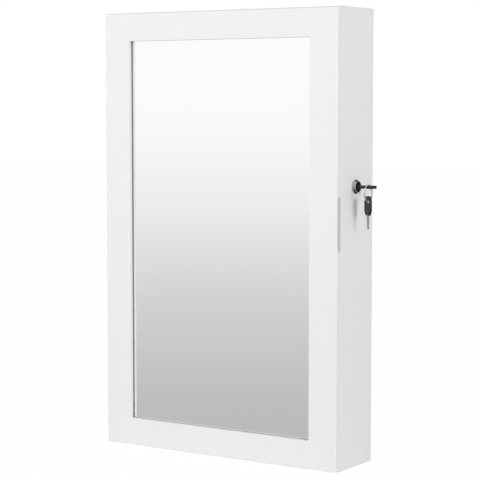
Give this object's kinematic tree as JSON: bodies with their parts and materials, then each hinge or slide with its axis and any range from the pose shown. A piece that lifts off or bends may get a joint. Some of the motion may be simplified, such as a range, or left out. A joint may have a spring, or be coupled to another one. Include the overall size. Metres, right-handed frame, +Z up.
{
  "type": "wall-mounted jewelry mirror cabinet",
  "caption": "Shallow lockable wall cabinet for jewelry with a white framed mirror door, a cam lock in its side, a key in the lock and a spare key hanging from a thin ring.",
  "frame": {"origin": "on the underside of the box, in the middle of the cabinet's width and of its depth with the door shut", "axes": "+Z up, +X to the right seen from the front, -Y is the front, where the mirror door is; +Y is the wall"},
  "size_m": [0.4066, 0.095, 0.6],
  "materials": {
    "white_paint": "satin white paint on fibreboard",
    "mirror_silver": "silvered float glass",
    "hardboard": "bare hardboard",
    "beech": "bare beech",
    "velvet_board": "thin board or rod covered with black velvet",
    "velvet_foam": "foam rolls covered with black velvet",
    "chrome_plate": "polished",
    "zinc_steel": "bright zinc plated steel",
    "key_steel": "nickel plated steel",
    "black_plastic": "moulded black plastic, satin",
    "white_plastic": "moulded white plastic",
    "magnet_ferrite": "bare ferrite",
    "clear_rubber": "clear soft plastic"
  },
  "bodies": {
    "cabinet": {"back_liner": "velvet_board", "back_panel": "white_paint", "bottom_panel": "white_paint", "bracelet_rod": "velvet_board", "catch_case": "white_plastic", "catch_magnet": "magnet_ferrite", "catch_screws": "zinc_steel", "divider": "velvet_board", "guard_rods": "chrome_plate", "hanging_rail": "white_paint", "hinge_box_leaves": "zinc_steel", "hinge_box_screws": "zinc_steel", "hinge_pins": "zinc_steel", "keyhole_plates": "zinc_steel", "keyhole_screws": "zinc_steel", "left_side_panel": "white_paint", "lock_housing": "chrome_plate", "lock_nut": "zinc_steel", "lower_back_rail": "white_paint", "lower_left_shelf": "velvet_board", "lower_right_shelf": "velvet_board", "middle_left_shelf": "velvet_board", "middle_right_shelf": "velvet_board", "necklace_hooks": "chrome_plate", "necklace_rail": "velvet_board", "panel_dowels": "beech", "right_side_panel": "white_paint", "ring_cushions": "velvet_foam", "ring_tray": "velvet_board", "rod_sockets": "velvet_board", "top_panel": "white_paint", "upper_right_shelf": "velvet_board"},
    "mirror_door": {"bottom_rail": "white_paint", "catch_plate": "zinc_steel", "door_bumpers": "clear_rubber", "door_fitting_screws": "zinc_steel", "door_liner": "velvet_board", "door_liner_screws": "zinc_steel", "earring_board": "velvet_board", "earring_spacers": "velvet_board", "hinge_door_leaves": "zinc_steel", "hinge_door_screws": "zinc_steel", "keeper": "zinc_steel", "keeper_rung": "zinc_steel", "left_stile": "white_paint", "mirror_backing": "hardboard", "mirror_glass": "mirror_silver", "rack_ends": "velvet_board", "rack_floor": "velvet_board", "rack_front": "velvet_board", "right_stile": "white_paint", "top_rail": "white_paint"},
    "key_in_lock": {"cam_screw": "zinc_steel", "key_blade": "key_steel", "key_head": "black_plastic", "lock_cam": "zinc_steel", "lock_plug": "chrome_plate"},
    "key_ring": {"key_ring": "key_steel"},
    "spare_key": {"spare_key_blade": "key_steel", "spare_key_head": "black_plastic"}
  },
  "joints": [
    {"name": "door_hinge", "type": "hinge", "parent": "cabinet", "child": "mirror_door", "pos_m": [-0.1877, -0.037, 0.3], "axis": [0, 0, -1], "range_deg": [0, 120]},
    {"name": "key_turn", "type": "hinge", "parent": "cabinet", "child": "key_in_lock", "pos_m": [0.185, 0, 0.369], "axis": [1, 0, 0], "range_deg": [0, 90]},
    {"name": "ring_hang", "type": "hinge", "parent": "key_in_lock", "child": "key_ring", "pos_m": [0.2083, -0.0077, 0.369], "axis": [1, 0, 0], "range_deg": [-90, 0]},
    {"name": "spare_swing", "type": "hinge", "parent": "key_ring", "child": "spare_key", "pos_m": [0.2083, -0.0077, 0.3515], "axis": [0, 1, 0], "range_deg": [-20, 20]}
  ],
  "couplings": [
    {"joint": "ring_hang", "follows": "key_turn", "ratio": -1}
  ]
}
